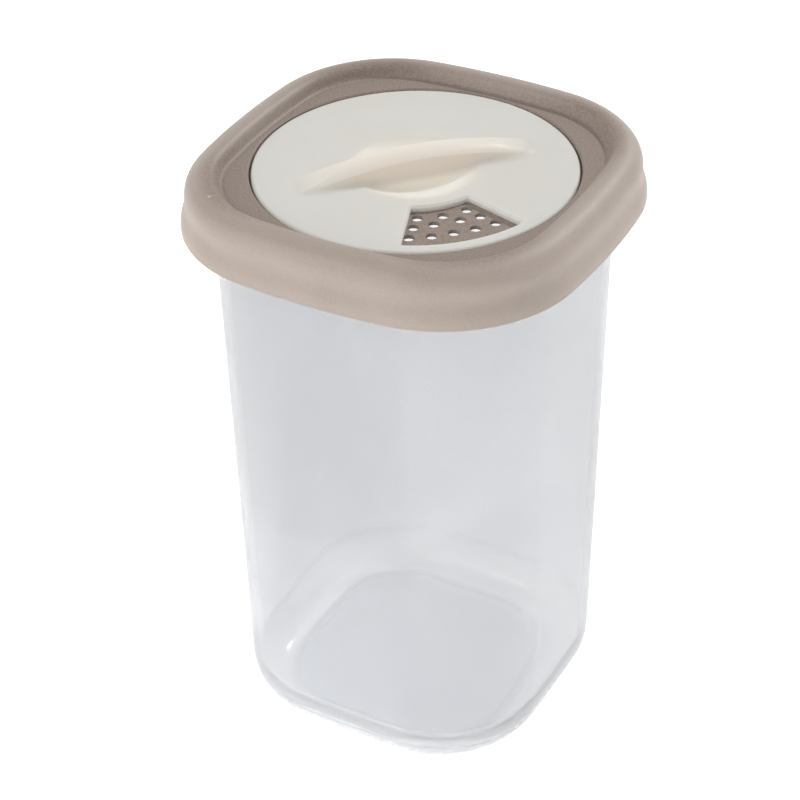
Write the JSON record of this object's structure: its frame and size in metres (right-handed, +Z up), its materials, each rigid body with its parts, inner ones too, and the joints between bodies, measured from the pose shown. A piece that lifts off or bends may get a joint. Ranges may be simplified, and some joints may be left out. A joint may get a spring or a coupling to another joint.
{
  "type": "spice jar",
  "caption": "Squarish translucent spice jar with a soft press-on lid and a turning disc that uncovers sprinkle holes.",
  "frame": {"origin": "middle of the jar's foot, on the plane that it stands on", "axes": "+Z up along the jar's axis, +X and +Y square to two neighbouring sides; the shaker window faces between +X and -Y"},
  "size_m": [0.0742, 0.0742, 0.1159],
  "materials": {
    "clear_plastic": "translucent, smooth moulded",
    "soft_plastic": "soft satin, warm grey-brown",
    "hard_plastic": "smooth satin, warm white"
  },
  "bodies": {
    "jar": {"jar": "clear_plastic"},
    "lid": {"lid": "soft_plastic"},
    "shaker": {"shaker_disc": "hard_plastic"}
  },
  "joints": [
    {"name": "lid_lift", "type": "slide", "parent": "jar", "child": "lid", "axis": [0, 0, 1], "range_m": [0, 0.08]},
    {"name": "disc_turn", "type": "hinge", "parent": "lid", "child": "shaker", "pos_m": [0, 0, 0.112], "axis": [0, 0, 1], "continuous": true}
  ]
}
